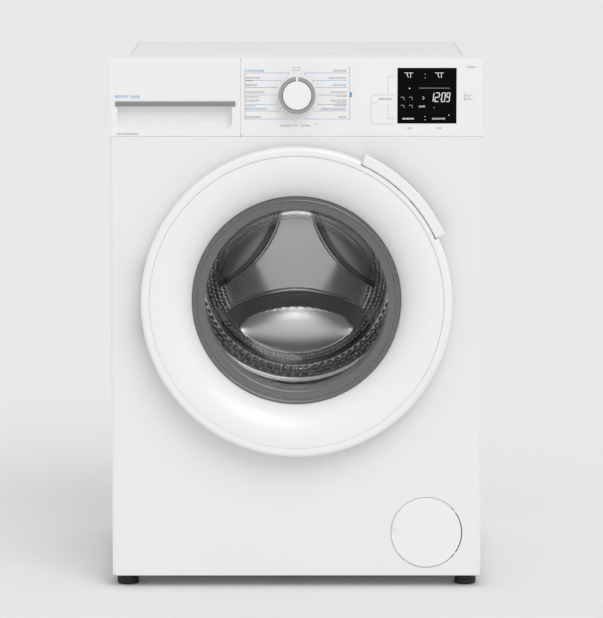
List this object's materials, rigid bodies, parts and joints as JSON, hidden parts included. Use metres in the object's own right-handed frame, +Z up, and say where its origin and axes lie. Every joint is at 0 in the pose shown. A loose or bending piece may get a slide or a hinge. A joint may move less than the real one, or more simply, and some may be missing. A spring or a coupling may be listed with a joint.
{
  "type": "front load washing machine",
  "caption": "Front load washing machine: round glass door in a dished rim, dial and display panel, detergent drawer, filter flap, and a sprung tub with a belt driven drum",
  "frame": {"origin": "centre of the machine's outline on the floor, under the feet", "axes": "+X right seen from the front, -Y front (door side), +Z up"},
  "size_m": [0.596, 0.607, 0.856],
  "materials": {
    "white_steel": "smooth white powder coat",
    "zinc_steel": "galvanised sheet with a fine spangle",
    "fastener_steel": "plated steel",
    "grey_plastic": "fine matte texture",
    "white_plastic": "fine matte texture",
    "white_laminate": "chipboard with a white laminate face",
    "white_gloss_plastic": "satin gloss white",
    "display_black": "polished black window",
    "black_plastic": "fine matte texture",
    "zinc_cast": "die cast, as cast",
    "spring_steel": "oiled spring wire",
    "grey_rubber": "soft matte rubber",
    "black_rubber": "soft matte rubber",
    "bezel_grey": "satin dark silver",
    "door_glass": "clear pressed glass",
    "grip_grey": "satin grey",
    "dial_metal": "fine turned, satin",
    "filter_plastic": "fine matte texture",
    "tub_plastic": "filled plastic, matte",
    "concrete": "cast concrete, unpainted",
    "motor_alloy": "cast housing with laminated core",
    "drum_steel": "stainless, finely brushed",
    "paddle_plastic": "polished silver grey",
    "spider_alloy": "die cast",
    "foot_rubber": "moulded rubber on a steel stud"
  },
  "bodies": {
    "cabinet": {"cabinet_shell": "white_steel", "rear_cover": "zinc_steel", "rear_screws": "fastener_steel", "transit_caps": "grey_plastic", "front_panel": "white_steel", "base_tray": "zinc_steel", "worktop_frame": "white_plastic", "worktop_panel": "white_laminate", "control_fascia": "white_gloss_plastic", "display_window": "display_black", "control_module": "grey_plastic", "dispenser_housing": "white_plastic", "door_lock": "black_plastic", "hinge_bracket": "zinc_cast", "damper_cylinders": "black_plastic", "suspension_springs": "spring_steel", "door_gasket": "grey_rubber", "drain_pump": "black_plastic", "inlet_valve": "white_plastic", "water_hoses": "black_rubber", "drain_outlet": "grey_plastic", "mains_inlet": "black_plastic", "tub_hoses": "black_rubber"},
    "door": {"door_rim": "white_gloss_plastic", "door_dish": "white_gloss_plastic", "door_bezel": "bezel_grey", "door_glass": "door_glass", "door_back_frame": "white_plastic", "hinge_leaf": "zinc_cast", "door_pins": "fastener_steel", "door_screws": "fastener_steel"},
    "handle": {"door_handle": "white_gloss_plastic"},
    "hook": {"latch_hook": "zinc_cast"},
    "drawer": {"drawer_front": "white_gloss_plastic", "drawer_grip": "grip_grey", "drawer_tray": "white_plastic"},
    "dial": {"dial_ring": "dial_metal", "dial_knob": "white_gloss_plastic"},
    "flap": {"filter_flap": "white_gloss_plastic"},
    "filter": {"pump_filter": "filter_plastic"},
    "tub": {"tub_front": "tub_plastic", "tub_rear": "tub_plastic", "drum_bearings": "fastener_steel", "counterweight_front": "concrete", "counterweight_top": "concrete", "motor": "motor_alloy", "heating_element": "fastener_steel", "drive_belt": "black_rubber", "damper_rods": "fastener_steel"},
    "drum": {"drum_shell": "drum_steel", "drum_back": "drum_steel", "drum_lifters": "paddle_plastic", "back_paddles": "paddle_plastic", "drum_spider": "spider_alloy", "drum_pulley": "spider_alloy"},
    "motor_pulley": {"motor_pulley": "fastener_steel"},
    "foot_fl": {"foot_front_left": "foot_rubber"},
    "foot_fr": {"foot_front_right": "foot_rubber"},
    "foot_rl": {"foot_rear_left": "foot_rubber"},
    "foot_rr": {"foot_rear_right": "foot_rubber"}
  },
  "joints": [
    {"name": "door_hinge", "type": "hinge", "parent": "cabinet", "child": "door", "pos_m": [-0.236, -0.2795, 0.4695], "axis": [0, 0, 1], "range_deg": [-115, 0]},
    {"name": "handle_pivot", "type": "hinge", "parent": "door", "child": "handle", "pos_m": [0.17112, -0.2955, 0.64062], "axis": [0.7071, 0, -0.7071], "range_deg": [0, 10], "stiffness_Nm_per_rad": 0.5, "springref_deg": -5.73},
    {"name": "hook_pivot", "type": "hinge", "parent": "door", "child": "hook", "pos_m": [0.213, -0.2815, 0.5095], "axis": [0, 0, 1], "range_deg": [-11, 0]},
    {"name": "drawer_slide", "type": "slide", "parent": "cabinet", "child": "drawer", "axis": [0, -1, 0], "range_m": [0, 0.18]},
    {"name": "dial_turn", "type": "hinge", "parent": "cabinet", "child": "dial", "pos_m": [0.001, -0.2575, 0.799], "axis": [0, 1, 0], "continuous": true},
    {"name": "flap_hinge", "type": "hinge", "parent": "cabinet", "child": "flap", "pos_m": [0.256, -0.2562, 0.09], "axis": [0, 0, 1], "range_deg": [0, 90]},
    {"name": "filter_turn", "type": "hinge", "parent": "cabinet", "child": "filter", "pos_m": [0.21, -0.2575, 0.09], "axis": [0, 1, 0], "range_deg": [0, 90]},
    {"name": "tub_bounce", "type": "slide", "parent": "cabinet", "child": "tub", "axis": [0, 0, 1], "range_m": [-0.008, 0.008], "stiffness_N_per_m": 12000, "springref_m": 0.02343, "deforming": ["suspension_springs", "door_gasket", "tub_hoses"]},
    {"name": "drum_spin", "type": "hinge", "parent": "tub", "child": "drum", "pos_m": [0, -0.2575, 0.4695], "axis": [0, 1, 0], "continuous": true},
    {"name": "motor_spin", "type": "hinge", "parent": "tub", "child": "motor_pulley", "pos_m": [0.03, -0.2575, 0.133], "axis": [0, 1, 0], "continuous": true},
    {"name": "foot_fl_thread", "type": "slide", "parent": "cabinet", "child": "foot_fl", "axis": [0, 0, 1], "range_m": [-0.012, 0]},
    {"name": "foot_fr_thread", "type": "slide", "parent": "cabinet", "child": "foot_fr", "axis": [0, 0, 1], "range_m": [-0.012, 0]},
    {"name": "foot_rl_thread", "type": "slide", "parent": "cabinet", "child": "foot_rl", "axis": [0, 0, 1], "range_m": [-0.012, 0]},
    {"name": "foot_rr_thread", "type": "slide", "parent": "cabinet", "child": "foot_rr", "axis": [0, 0, 1], "range_m": [-0.012, 0]}
  ],
  "couplings": [
    {"joint": "hook_pivot", "follows": "handle_pivot", "ratio": -1.05},
    {"joint": "motor_spin", "follows": "drum_spin", "ratio": 12.909}
  ]
}
